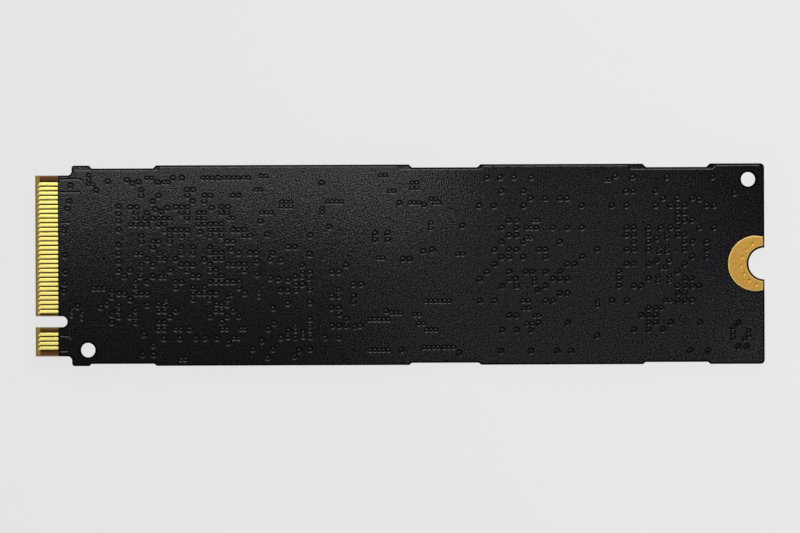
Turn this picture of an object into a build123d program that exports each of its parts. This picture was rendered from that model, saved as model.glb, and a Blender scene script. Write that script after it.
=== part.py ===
from build123d import *
import os

# A single-sided storage card, 80 mm long, with a key M card edge, lying on its component side.
# +X runs from the card edge to the screw end, +Y towards contact place 1, +Z out of the bare back face.
# The origin is below the card's middle, on the surface that its tallest packages rest on. Millimetres.

os.makedirs("parts", exist_ok=True)

# Card-edge contacts
contact_pitch = 0.5  # between neighbours on one face
contact_places = 75  # numbered places across the tab, odd on the front face and even on the back
key_first_place = 59  # first place lost to the key notch
key_last_place = 66  # last place lost to the key notch
contact_width = 0.35
contact_start = 0.25  # from the card edge to a contact's tip
contact_end = 2.52  # from the card edge to a contact's heel
contact_slant = 0.25  # how far the tip's cut runs back across the contact
contact_thickness = 0.04

# Board
card_length = 80.0
tab_length = 4.0  # from the card edge to the shoulders
tab_side_margin = 0.675  # from the outermost contact place to the side of the tab
shoulder_width = 1.075  # each shoulder, beside the tab
shoulder_root_radius = 0.5
shoulder_corner_radius = 0.3
end_corner_radius = 0.45
laminate_thickness = 0.70
bevel_run = 0.5  # along the card, on both faces of the card edge
bevel_rise = 0.18
key_notch_width = 1.2
key_notch_depth = 3.5
screw_notch_radius = 1.75
tooling_hole_diameter = 1.6
tooling_hole_inset = 1.75  # from the long edge, and from the shoulder or the screw end

# Routed recesses in the long edges, where the card was held in its panel
recess_mouth = 7.4
recess_mouth_middle = 7.84
recess_from_shoulder = 5.57  # to the middle of the first recess
recess_from_edge = 44.94  # card edge to the middle of the second recess
recess_from_end = 9.64  # screw end to the middle of the third recess
recess_depth_plus_y = 0.33
recess_depth_plus_y_last = 0.38
recess_depth_minus_y = 0.23
recess_cutter_radius = 0.2

# Lacquered outer layers and the screw pads
mask_thickness = 0.05  # outer copper and the lacquer over it
contact_mask_gap = 0.10  # bare strip between the contacts' heels and the lacquer
mask_hole_clearance = 0.23  # bare ring round a tooling hole
pad_radius = 3.05
pad_centre_inset = 0.95  # from the screw end to the centre of the pad's arc
pad_notch_clearance = 0.18  # from the screw notch
pad_end_clearance = 0.13  # from the screw end
pad_mask_clearance = 0.12

# Packages on ball grids
package_ball_height = 0.25
ball_diameter = 0.42
controller_length = 15.0
controller_width = 13.0
controller_height = 1.40
controller_substrate_thickness = 0.30
controller_ball_columns = 21
controller_ball_rows = 18
controller_ball_inset = 1.0  # from the package's sides to the outermost balls
memory_length = 7.5
memory_width = 13.3
memory_height = 1.10
memory_substrate_thickness = 0.20
memory_ball_columns = 3  # in each of two blocks, one at each long side
memory_ball_rows = 16
memory_ball_pitch = 0.8  # between columns
memory_ball_inset = 0.6
flash_length = 12.0
flash_width = 18.0
flash_height = 1.40
flash_substrate_thickness = 0.25
flash_ball_columns = 11
flash_ball_rows = 6  # in each of two blocks, one at each short side
flash_ball_pitch = 1.0  # between rows
flash_ball_inset = 1.0

# Leadless chips
lead_width = 0.25
lead_length = 0.40
lead_thickness = 0.20
power_chip_side = 4.0
power_chip_height = 0.80
power_chip_leads_per_side = 6
power_chip_lead_pitch = 0.5
power_chip_heat_pad = 2.6
input_switch_side = 2.0
input_switch_height = 0.75
input_switch_leads_per_side = 3
input_switch_lead_pitch = 0.5
input_switch_heat_pad = 0.9

# Passive parts
bulk_length = 2.0
bulk_width = 1.25
bulk_height = 0.85
bulk_end = 0.45
bypass_length = 1.0
bypass_width = 0.5
bypass_height = 0.5
bypass_end = 0.25
resistor_length = 1.0
resistor_width = 0.5
resistor_height = 0.35
resistor_end = 0.2
end_plating = 0.03  # how far a metal end stands proud of the body
fillet_share = 0.5  # height of a solder fillet against the end that it wets
fillet_run = 0.2
inductor_length = 2.5
inductor_width = 2.0
inductor_height = 1.0
inductor_foot = 0.6
inductor_terminal = 0.1  # sheet thickness
crystal_length = 2.0
crystal_width = 1.6
crystal_base_height = 0.40
crystal_lid_height = 0.10
crystal_lid_inset = 0.15

# Layout of the component side
input_zone = 4.0  # length along the card
power_zone = 8.5
part_spacing = 0.4  # from a package to the parts beside it
column_pitch = 0.9  # small parts in a column, across the card
coupling_count = 6
input_resistor_count = 3
controller_row_count = 5
controller_row_pitch = 2.6
memory_row_count = 3
memory_row_pitch = 2.2
flash_column_count = 4
flash_column_pitch = 4.0
power_resistor_count = 3

# Sizes that follow
tab_width = (contact_places - 1) * contact_pitch / 2 + 2 * tab_side_margin
card_width = tab_width + 2 * shoulder_width
card_edge = -card_length / 2
card_end = card_length / 2
shoulder = card_edge + tab_length
side = card_width / 2
front_face = max(controller_height, memory_height, flash_height, inductor_height, bulk_height)
laminate_front = front_face + mask_thickness
laminate_back = laminate_front + laminate_thickness
back_face = laminate_back + mask_thickness
overrun = 1.0  # how far a cutting shape runs past the material
near = 0.01  # how close a corner lies to a line that it is picked by

zone_lengths = [input_zone, controller_length, memory_length, power_zone, flash_length, flash_length]
zone_gap = (card_end - pad_centre_inset - pad_radius - shoulder - sum(zone_lengths)) / (len(zone_lengths) + 1)


def zone_middle(index):
    """Middle of a zone along the card, with the free length shared out evenly between the zones."""
    before = sum(zone_lengths[:index]) + (index + 1) * zone_gap
    return shoulder + before + zone_lengths[index] / 2


input_x, controller_x, memory_x, power_x, flash_1_x, flash_2_x = [zone_middle(i) for i in range(6)]


def save(name, solids):
    """Write one node: a single solid, or a group of separate solids."""
    shapes = solids if isinstance(solids, list) else [solids]
    loose = [solid for shape in shapes for solid in shape.solids()]
    export_step(loose[0] if len(loose) == 1 else Compound(loose), f"parts/{name}.step")


def rectangle(x_low, x_high, y_low, y_high):
    """Flat rectangle between two pairs of limits."""
    middle = Pos((x_low + x_high) / 2, (y_low + y_high) / 2)
    return middle * Rectangle(x_high - x_low, y_high - y_low)


def block(length, width, low, high):
    """Block centred on Z, between two heights."""
    return Pos(0, 0, (low + high) / 2) * Box(length, width, high - low)


def place_y(place):
    """Where a numbered contact place lies across the card."""
    return ((contact_places + 1) / 2 - place) * contact_pitch / 2


# Board outline and its cut-outs


def edge_recess(middle, mouth, depth):
    """Routed recess in the +Y edge: ends at 45 degrees, and inner corners as round as the cutter."""
    left = middle - mouth / 2
    right = middle + mouth / 2
    floor = side - depth
    corners = [
        (left, side + overrun),
        (left, side),
        (left + depth, floor),
        (right - depth, floor),
        (right, side),
        (right, side + overrun),
    ]
    recess = make_face(Polyline(*corners, close=True))
    return fillet(recess.vertices().group_by(Axis.Y)[0], recess_cutter_radius)


def edge_recesses():
    """Three recesses in each long edge, shallower on the -Y side."""
    first = (shoulder + recess_from_shoulder, recess_mouth)
    second = (card_edge + recess_from_edge, recess_mouth_middle)
    third = (card_end - recess_from_end, recess_mouth)
    plus_y = [edge_recess(*first, recess_depth_plus_y), edge_recess(*second, recess_depth_plus_y)]
    plus_y.append(edge_recess(*third, recess_depth_plus_y_last))
    shallow = [edge_recess(*spot, recess_depth_minus_y) for spot in (first, second, third)]
    return plus_y + [mirror(recess, about=Plane.XZ) for recess in shallow]


def key_notch():
    """Slot from the card edge, round at its inner end, in the middle of the lost contact places."""
    centre_y = (place_y(key_first_place) + place_y(key_last_place)) / 2
    half = key_notch_width / 2
    round_x = card_edge + key_notch_depth - half
    slot = rectangle(card_edge - overrun, round_x, centre_y - half, centre_y + half)
    return slot + Pos(round_x, centre_y) * Circle(half)


def tooling_holes(radius):
    """Round holes near two opposite corners of the card."""
    near_end = Pos(card_end - tooling_hole_inset, side - tooling_hole_inset)
    near_shoulder = Pos(shoulder + tooling_hole_inset, tooling_hole_inset - side)
    return [near_end * Circle(radius), near_shoulder * Circle(radius)]


def screw_notch(radius):
    """Round notch for the holding screw, centred on the screw end."""
    return Pos(card_end, 0) * Circle(radius)


def card_outline():
    """Tab and card with rounded shoulders and corners, less every cut-out."""
    outline = rectangle(shoulder, card_end, -side, side)
    outline += rectangle(card_edge, shoulder, -tab_width / 2, tab_width / 2)
    at_shoulder = outline.vertices().filter_by(lambda corner: abs(corner.X - shoulder) < near)
    roots = at_shoulder.filter_by(lambda corner: abs(corner.Y) < (tab_width + shoulder_width) / 2)
    outline = fillet(roots, shoulder_root_radius)
    outer = outline.vertices().filter_by(lambda corner: abs(corner.Y) > side - near)
    outline = fillet(outer.group_by(Axis.X)[0], shoulder_corner_radius)
    outline = fillet(outline.vertices().group_by(Axis.X)[-1], end_corner_radius)
    cuts = edge_recesses() + tooling_holes(tooling_hole_diameter / 2)
    cuts += [key_notch(), screw_notch(screw_notch_radius)]
    return outline - cuts


def bevel_cut():
    """Wedge that takes the back corner off the card edge."""
    corners = [
        (card_edge - overrun, laminate_back - bevel_rise * (1 + overrun / bevel_run)),
        (card_edge + bevel_run, laminate_back),
        (card_edge - overrun, laminate_back),
    ]
    wedge = Plane.XZ * make_face(Polyline(*corners, close=True))
    return extrude(wedge, card_width, both=True)


def to_front(shape):
    """The same shape on the other face of the card."""
    return mirror(shape, about=Plane.XY.offset((laminate_front + laminate_back) / 2))


outline = card_outline()
laminate = Pos(0, 0, laminate_front) * extrude(outline, laminate_thickness)
save("board_laminate", laminate - [bevel_cut(), to_front(bevel_cut())])

# Lacquered layers, screw pads and contacts


def pad_outline(margin):
    """Round-ended pad at the screw end, grown by a margin, that runs on past the end of the card."""
    reach = pad_radius + margin
    centre = card_end - pad_centre_inset
    return rectangle(centre, card_end + overrun, -reach, reach) + Pos(centre, 0) * Circle(reach)


def mask_layer():
    """Lacquer over the back, bare on the contacts and round the tooling holes and the screw pad."""
    bare = tooling_holes(tooling_hole_diameter / 2 + mask_hole_clearance)
    bare.append(rectangle(card_edge - overrun, card_edge + contact_end + contact_mask_gap, -side, side))
    bare.append(pad_outline(pad_mask_clearance))
    return Pos(0, 0, laminate_back) * extrude(outline - bare, mask_thickness)


def screw_pad():
    """Gold pad round the screw notch, on the back."""
    pad = pad_outline(0) - screw_notch(screw_notch_radius + pad_notch_clearance)
    pad &= rectangle(0, card_end - pad_end_clearance, -side, side)
    return Pos(0, 0, laminate_back) * extrude(pad, contact_thickness)


def contact_skin():
    """Layer of contact metal over the bevel and the flat of the tab, on the back."""
    tip_x = card_edge + contact_start
    tip_z = laminate_back - bevel_rise * (1 - contact_start / bevel_run)
    under = [(tip_x, tip_z), (card_edge + bevel_run, laminate_back), (card_edge + contact_end, laminate_back)]
    over = [(x, z + contact_thickness) for x, z in reversed(under)]
    section = Plane.XZ * make_face(Polyline(*under, *over, close=True))
    return extrude(section, tab_width / 2, both=True)


def contacts(first_place):
    """One contact at every second place from the first one on, with its tip cut at a slant."""
    half = contact_width / 2
    tip_x = card_edge + contact_start
    heel_x = card_edge + contact_end
    corners = [(tip_x, -half), (heel_x, -half), (heel_x, half), (tip_x + contact_slant, half)]
    shape = make_face(Polyline(*corners, close=True))
    prism = Pos(0, 0, laminate_front) * extrude(shape, laminate_thickness + contact_thickness)
    skin = contact_skin()
    lost = range(key_first_place, key_last_place + 1)
    places = [place for place in range(first_place, contact_places + 1, 2) if place not in lost]
    return [skin & (Pos(0, place_y(place)) * prism) for place in places]


save("solder_mask_back", mask_layer())
save("solder_mask_front", to_front(mask_layer()))
save("mounting_pad_back", screw_pad())
save("mounting_pad_front", to_front(screw_pad()))
save("contact_fingers_back", contacts(2))
save("contact_fingers_front", [to_front(contact) for contact in contacts(1)])

# Ball grid packages, hanging below the front face


def block_rim(x_limits, columns, y_limits, rows):
    """Places on the rim of a block of balls. The balls inside the rim can't be seen and are left out."""
    x_step = (x_limits[1] - x_limits[0]) / (columns - 1)
    y_step = (y_limits[1] - y_limits[0]) / (rows - 1)
    rim = []
    for column in range(columns):
        for row in range(rows):
            if column in (0, columns - 1) or row in (0, rows - 1):
                rim.append((x_limits[0] + column * x_step, y_limits[0] + row * y_step))
    return rim


def package(name, x, length, width, height, substrate_thickness, ball_places):
    """Package on solder balls: the balls, the substrate on them and the moulded cap on that."""
    substrate_top = front_face - package_ball_height
    cap_top = substrate_top - substrate_thickness
    ball = extrude(RegularPolygon(ball_diameter / 2, 6), package_ball_height)
    save(f"{name}_solder_balls", [Pos(x + dx, dy, substrate_top) * ball for dx, dy in ball_places])
    save(f"{name}_substrate", Pos(x, 0) * block(length, width, cap_top, substrate_top))
    save(f"{name}_cap", Pos(x, 0) * block(length, width, front_face - height, cap_top))


def ball_reach(size, inset):
    """How far the outermost balls lie from the middle of a package."""
    return size / 2 - inset


controller_reach_x = ball_reach(controller_length, controller_ball_inset)
controller_reach_y = ball_reach(controller_width, controller_ball_inset)
controller_balls = block_rim(
    (-controller_reach_x, controller_reach_x), controller_ball_columns,
    (-controller_reach_y, controller_reach_y), controller_ball_rows,
)
memory_reach_x = ball_reach(memory_length, memory_ball_inset)
memory_reach_y = ball_reach(memory_width, memory_ball_inset)
memory_inner_x = memory_reach_x - (memory_ball_columns - 1) * memory_ball_pitch
flash_reach_x = ball_reach(flash_length, flash_ball_inset)
flash_reach_y = ball_reach(flash_width, flash_ball_inset)
flash_inner_y = flash_reach_y - (flash_ball_rows - 1) * flash_ball_pitch
memory_balls = []
flash_balls = []
for half in (-1, 1):
    memory_balls += block_rim(
        (half * memory_inner_x, half * memory_reach_x), memory_ball_columns,
        (-memory_reach_y, memory_reach_y), memory_ball_rows,
    )
    flash_balls += block_rim(
        (-flash_reach_x, flash_reach_x), flash_ball_columns,
        (half * flash_inner_y, half * flash_reach_y), flash_ball_rows,
    )

package(
    "controller", controller_x, controller_length, controller_width, controller_height,
    controller_substrate_thickness, controller_balls,
)
package(
    "memory", memory_x, memory_length, memory_width, memory_height,
    memory_substrate_thickness, memory_balls,
)
for number, flash_x in enumerate((flash_1_x, flash_2_x), start=1):
    package(
        f"flash_{number}", flash_x, flash_length, flash_width, flash_height,
        flash_substrate_thickness, flash_balls,
    )

# Leadless chips, made about their own middle with the board face at zero height

solder = []


def fillet_wedge(width, height):
    """Solder that climbs the face at X = 0 and runs out along the board towards +X."""
    corners = [(0, 0), (fillet_run, 0), (0, -height)]
    wedge = Plane.XZ * make_face(Polyline(*corners, close=True))
    return extrude(wedge, width / 2, both=True)


def spread(count, pitch):
    """Evenly spaced offsets about zero."""
    return [(number - (count - 1) / 2) * pitch for number in range(count)]


def leadless_chip(name, x, y, chip_side, height, lead_offsets, turns, heat_pad):
    """Moulded chip with leads flush in some of its sides, a heat pad under it and solder at each lead."""
    spot = Pos(x, y, front_face)
    lead = block(lead_length, lead_width, -lead_thickness, 0)
    wedge = fillet_wedge(lead_width, lead_thickness * fillet_share)
    leads = [block(heat_pad, heat_pad, -lead_thickness, 0)]
    for turn in turns:
        for offset in lead_offsets:
            leads.append(Rot(0, 0, turn) * Pos((chip_side - lead_length) / 2, offset) * lead)
            solder.append(spot * Rot(0, 0, turn) * Pos(chip_side / 2, offset) * wedge)
    body = block(chip_side, chip_side, -height, 0) - leads
    save(f"{name}_body", spot * body)
    save(f"{name}_leads", [spot * lead for lead in leads])


input_switch_y = (coupling_count + 1) * column_pitch / 2
leadless_chip(
    "power_chip", power_x, 0, power_chip_side, power_chip_height,
    spread(power_chip_leads_per_side, power_chip_lead_pitch), (0, 90, 180, 270), power_chip_heat_pad,
)
leadless_chip(
    "input_switch", input_x, input_switch_y, input_switch_side, input_switch_height,
    spread(input_switch_leads_per_side, input_switch_lead_pitch), (0, 180), input_switch_heat_pad,
)

# Passive parts in rows and columns beside the packages


def end_capped(name, spots, length, width, height, end):
    """Chip parts: a body between two metal ends, with solder at each end. A spot is x, y and a turn."""
    body = block(length - 2 * end, width - 2 * end_plating, end_plating - height, -end_plating)
    cap = Pos((length - end) / 2, 0) * block(end, width, -height, 0)
    wedge = Pos(length / 2, 0) * fillet_wedge(width, height * fillet_share)
    bodies = []
    ends = []
    for x, y, turn in spots:
        bodies.append(Pos(x, y, front_face) * Rot(0, 0, turn) * body)
        for face in (0, 180):
            spot = Pos(x, y, front_face) * Rot(0, 0, turn + face)
            ends.append(spot * cap)
            solder.append(spot * wedge)
    save(f"{name}_bodies", bodies)
    save(f"{name}_ends", ends)


part_reach = bypass_length / 2 + fillet_run + part_spacing
controller_row_y = controller_width / 2 + part_reach
memory_row_y = memory_width / 2 + part_reach
column_x = input_zone / 2 - bypass_length / 2 - fillet_run
coupling_y = -column_pitch
bypass_spots = [(input_x - column_x, coupling_y + dy, 0) for dy in spread(coupling_count, column_pitch)]
for row_side in (-1, 1):
    for dx in spread(controller_row_count, controller_row_pitch):
        bypass_spots.append((controller_x + dx, row_side * controller_row_y, 90))
    for dx in spread(memory_row_count, memory_row_pitch):
        bypass_spots.append((memory_x + dx, row_side * memory_row_y, 90))
for dy in spread(flash_column_count, flash_column_pitch):
    bypass_spots.append(((flash_1_x + flash_2_x) / 2, dy, 90))
end_capped("bypass_capacitor", bypass_spots, bypass_length, bypass_width, bypass_height, bypass_end)

inductor_y = power_chip_side / 2 + fillet_run + part_spacing + inductor_width / 2
inductor_x = (inductor_length + part_spacing) / 2
power_bulk_y = inductor_y + inductor_width / 2 + part_spacing + bulk_width / 2
input_bulk_y = input_switch_y + input_switch_side / 2 + fillet_run + part_spacing + bulk_width / 2
bulk_pitch = bulk_width + part_spacing
bulk_spots = [(input_x, input_bulk_y + number * bulk_pitch, 0) for number in range(2)]
for across in (-1, 1):
    for along in (-1, 1):
        bulk_spots.append((power_x + along * inductor_x, across * power_bulk_y, 0))
end_capped("bulk_capacitor", bulk_spots, bulk_length, bulk_width, bulk_height, bulk_end)

power_resistor_x = power_chip_side / 2 + 2 * fillet_run + part_spacing + resistor_length / 2
resistor_spots = [
    (input_x + column_x, coupling_y + dy, 0) for dy in spread(input_resistor_count, column_pitch)
]
for along in (-1, 1):
    for dy in spread(power_resistor_count, column_pitch):
        resistor_spots.append((power_x + along * power_resistor_x, dy, 0))
end_capped("resistor", resistor_spots, resistor_length, resistor_width, resistor_height, resistor_end)


def inductor_terminal_shape():
    """Sheet terminal folded up one end of an inductor, with its foot under the body."""
    reach = inductor_length / 2
    corners = [
        (reach - inductor_foot, 0),
        (reach, 0),
        (reach, inductor_terminal - inductor_height),
        (reach - inductor_terminal, inductor_terminal - inductor_height),
        (reach - inductor_terminal, -inductor_terminal),
        (reach - inductor_foot, -inductor_terminal),
    ]
    section = Plane.XZ * make_face(Polyline(*corners, close=True))
    return extrude(section, inductor_width / 4, both=True)


inductor_body = block(
    inductor_length - 2 * inductor_terminal, inductor_width, -inductor_height, -inductor_terminal
)
inductor_bodies = []
inductor_terminals = []
for across in (-1, 1):
    for along in (-1, 1):
        spot = Pos(power_x + along * inductor_x, across * inductor_y, front_face)
        inductor_bodies.append(spot * inductor_body)
        for face in (0, 180):
            inductor_terminals.append(spot * Rot(0, 0, face) * inductor_terminal_shape())
save("inductor_bodies", inductor_bodies)
save("inductor_terminals", inductor_terminals)

crystal_y = coupling_y - coupling_count * column_pitch / 2 - part_spacing - crystal_width / 2
crystal_spot = Pos(input_x, crystal_y, front_face)
crystal_top = -crystal_base_height - crystal_lid_height
save("crystal_base", crystal_spot * block(crystal_length, crystal_width, -crystal_base_height, 0))
lid_length = crystal_length - 2 * crystal_lid_inset
lid_width = crystal_width - 2 * crystal_lid_inset
save("crystal_lid", crystal_spot * block(lid_length, lid_width, crystal_top, -crystal_base_height))

save("solder_fillets", solder)
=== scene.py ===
import math
import bmesh
import bpy
import numpy as np
from mathutils import Euler, Matrix, Vector
from mathutils.geometry import delaunay_2d_cdt


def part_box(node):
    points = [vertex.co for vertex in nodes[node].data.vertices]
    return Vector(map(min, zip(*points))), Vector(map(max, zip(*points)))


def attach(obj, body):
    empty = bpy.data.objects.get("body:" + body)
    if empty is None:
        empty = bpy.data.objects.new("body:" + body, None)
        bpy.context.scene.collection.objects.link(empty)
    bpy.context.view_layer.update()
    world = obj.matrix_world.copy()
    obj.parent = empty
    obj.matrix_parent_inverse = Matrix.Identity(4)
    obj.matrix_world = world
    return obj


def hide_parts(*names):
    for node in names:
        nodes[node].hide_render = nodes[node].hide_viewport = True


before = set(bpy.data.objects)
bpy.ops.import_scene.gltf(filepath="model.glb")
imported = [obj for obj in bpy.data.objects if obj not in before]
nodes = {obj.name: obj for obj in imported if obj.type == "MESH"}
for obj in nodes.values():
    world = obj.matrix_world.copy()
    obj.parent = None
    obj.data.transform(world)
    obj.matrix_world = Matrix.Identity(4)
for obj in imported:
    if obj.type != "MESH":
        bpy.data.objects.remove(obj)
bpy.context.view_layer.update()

# Board: glass cloth and epoxy pressed into one thin sheet, routed to outline, with both faces of the card
# edge ground to a bevel. Bare brown epoxy shows on the tab, with dark olive painted shade between the
# contacts that holds a painted reflection of the gold, and near-black painted shade by the lacquer's edge;
# paler cut glass on the bevel, darker at its outer end, and paler strips along the tab's routed edges.
MM = 0.001
card_edge, card_end = (v.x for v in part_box("board_laminate"))
board_front, board_back = (v.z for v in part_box("board_laminate"))
contact_rows, shade_fade = ((-5.26, 9.26), (-9.30, -7.26)), 0.28  # y of both groups of contacts, millimetres, and how far the painted shade between them fades out past them
bare_rims, rim_fade = ((9.85, 12), (-12, -9.85), (-5.53, -5.48), (-6.80, -6.75)), 0.12  # y beside them
lacquered, lacquer_fade = (-37.47, 60.0), 0.02  # x from the start of the lacquer to past the card's end, where the bare laminate gets near-black painted shade
bevel_end, bevel_end_fade = (-41.0, -39.93), 0.12  # x of the bevel's outer end, which is coloured darker
level_face, upright_face = 0.98, 0.5  # least and most upward part of the normal there


def finish(name, **constants):
    """A new material: its node tree and its Principled shader with the named inputs set."""
    made = bpy.data.materials.new(name)
    made.use_nodes = True
    shader = made.node_tree.nodes["Principled BSDF"]
    for socket, value in constants.items():
        shader.inputs[socket.replace("_", " ")].default_value = value
    return made, made.node_tree, shader


def add(tree, kind, inputs=None, **settings):
    """A node of that kind in the tree, with each input joined to an output socket or set to a value."""
    node = tree.nodes.new("ShaderNode" + kind)
    for name, value in settings.items():
        setattr(node, name, value)
    for key, value in (inputs or {}).items():
        if isinstance(value, bpy.types.NodeSocket):
            tree.links.new(value, node.inputs[key])
        else:
            node.inputs[key].default_value = value
    return node


def worked(tree, operation, *values, **settings):
    """The result of a Math node's operation on sockets or numbers."""
    return add(tree, "Math", dict(enumerate(values)), operation=operation, **settings).outputs[0]


def most(tree, values):
    """The largest of several values."""
    largest = values[0]
    for value in values[1:]:
        largest = worked(tree, "MAXIMUM", largest, value)
    return largest


def feed(tree, shader, **outputs):
    """Joins outputs to the shader's inputs of those names."""
    for socket, output in outputs.items():
        tree.links.new(output, shader.inputs[socket.replace("_", " ")])


def grain_group():
    """Node group: noise in object space with so many features to the metre along each axis, with nearly all
    of it spread between two values."""
    usual_low, usual_high, fineness = 0.28, 0.72, 0.55
    tree = bpy.data.node_groups.new("grain", "ShaderNodeTree")
    sockets = {"Scale X": 1e3, "Scale Y": 1e3, "Scale Z": 1e3, "Low": 0.0, "High": 1.0, "Detail": 2.0}
    for name, value in sockets.items():
        tree.interface.new_socket(name, in_out="INPUT", socket_type="NodeSocketFloat").default_value = value
    tree.interface.new_socket("Value", in_out="OUTPUT", socket_type="NodeSocketFloat")
    given = tree.nodes.new("NodeGroupInput").outputs
    scale = add(tree, "CombineXYZ", {axis: given["Scale " + axis] for axis in "XYZ"})
    place = add(tree, "TexCoord").outputs["Object"]
    sized = add(tree, "VectorMath", {0: place, 1: scale.outputs[0]}, operation="MULTIPLY")
    noise = add(tree, "TexNoise", {"Vector": sized.outputs[0], "Scale": 1.0, "Detail": given["Detail"],
                                   "Roughness": fineness})
    spread = add(tree, "MapRange", {"Value": noise.outputs[0], "From Min": usual_low, "From Max": usual_high,
                                    "To Min": given["Low"], "To Max": given["High"]})
    out = tree.nodes.new("NodeGroupOutput")
    tree.links.new(spread.outputs[0], out.inputs[0])
    return tree


grain = grain_group()


def grained(tree, size, low, high, detail=2.0):
    """The value of the grain group in a material: features of that size in millimetres (x, y, z)."""
    node = tree.nodes.new("ShaderNodeGroup")
    node.node_tree = grain
    for socket, value in zip(node.inputs, [1 / (v * MM) for v in size] + [low, high, detail]):
        socket.default_value = value
    return node.outputs[0]


def blend(tree, factor, one, other):
    """Colour that runs from one to the other as the factor runs from 0 to 1."""
    mix = add(tree, "Mix", data_type="RGBA")
    for index, value in ((0, factor), (6, one), (7, other)):
        if isinstance(value, bpy.types.NodeSocket):
            tree.links.new(value, mix.inputs[index])
        else:
            mix.inputs[index].default_value = (*value, 1.0) if index else value
    return mix.outputs[2]


def mottled(tree, size, one, other):
    """Colour that wanders between two with a grain of that size."""
    return blend(tree, grained(tree, size, 0, 1), one, other)


def bump(tree, shader, height, depth, strength):
    """Tilts the shader's normal like a relief of that height, whose full depth is in millimetres."""
    node = add(tree, "Bump", {"Height": height, "Distance": depth * MM, "Strength": strength})
    feed(tree, shader, Normal=node.outputs[0])
    return node.outputs[0]


def upward(tree):
    """The upward part of the surface's normal."""
    return add(tree, "SeparateXYZ", {0: add(tree, "NewGeometry").outputs["Normal"]}).outputs[2]


def spot_on(tree):
    """The x, y and z of the place on the piece."""
    return add(tree, "SeparateXYZ", {0: add(tree, "TexCoord").outputs["Object"]}).outputs


def within(tree, value, span, soft):
    """1 where the value lies in the span, falling to 0 over the soft distance outside, in millimetres."""
    low, high = span
    rise = add(tree, "MapRange", {"Value": value, "From Min": (low - soft) * MM, "From Max": low * MM})
    fall = add(tree, "MapRange", {"Value": value, "From Min": high * MM, "From Max": (high + soft) * MM,
                                  "To Min": 1.0, "To Max": 0.0})
    return worked(tree, "MULTIPLY", rise.outputs[0], fall.outputs[0])


laminate, tree, shader = finish("laminate", Roughness=0.6, IOR=1.1)
level = worked(tree, "ABSOLUTE", upward(tree))
on_flat = worked(tree, "GREATER_THAN", level, level_face)
on_wall = worked(tree, "LESS_THAN", level, upright_face)
along, across, _ = spot_on(tree)
# 1 on the tab between the contacts, where the bare laminate gets painted shade
between = most(tree, [within(tree, across, span, shade_fade) for span in contact_rows])
beside_rows = most(tree, [within(tree, across, span, rim_fade) for span in bare_rims])
resin = mottled(tree, (0.30, 0.12, 0.3), (0.086, 0.032, 0.012), (0.13, 0.053, 0.021))
# painted shade between the contacts: dark olive, the shade holding a painted reflection of the gold
painted_shade = mottled(tree, (0.30, 0.12, 0.3), (0.022, 0.015, 0.002), (0.036, 0.025, 0.004))
# near-black painted shade on the bare laminate at the lacquer's edge, seen in the gap at the contacts' heels
# and round the holes
lacquer_edge_shade = mottled(tree, (0.20, 0.20, 0.2), (0.0010, 0.0008, 0.0004), (0.0026, 0.0021, 0.0011))
ground = mottled(tree, (0.10, 0.35, 0.03), (0.22, 0.136, 0.031), (0.32, 0.205, 0.049))
plies = mottled(tree, (1.5, 1.5, 0.045), (0.020, 0.012, 0.006), (0.10, 0.062, 0.028))
# darker colour of the bevel's outer end, and the paler strips along the tab's routed edges
darker_end, tan = (0.22, 0.125, 0.038), (0.21, 0.135, 0.055)
strip = blend(tree, beside_rows, blend(tree, between, resin, painted_shade), tan)
flat = blend(tree, within(tree, along, lacquered, lacquer_fade), strip, lacquer_edge_shade)
# the bevel's colour, darker at its outer end
bevel_tone = blend(tree, within(tree, along, bevel_end, bevel_end_fade), ground, darker_end)
cut = blend(tree, on_wall, bevel_tone, plies)
feed(tree, shader, Base_Color=blend(tree, on_flat, cut, flat))
bump(tree, shader, grained(tree, (0.4, 0.4, 0.05), 0, 1), 0.01, 0.4)
board_finish = nodes["board_laminate"].data.materials
board_finish.clear()
board_finish.append(laminate)

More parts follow.
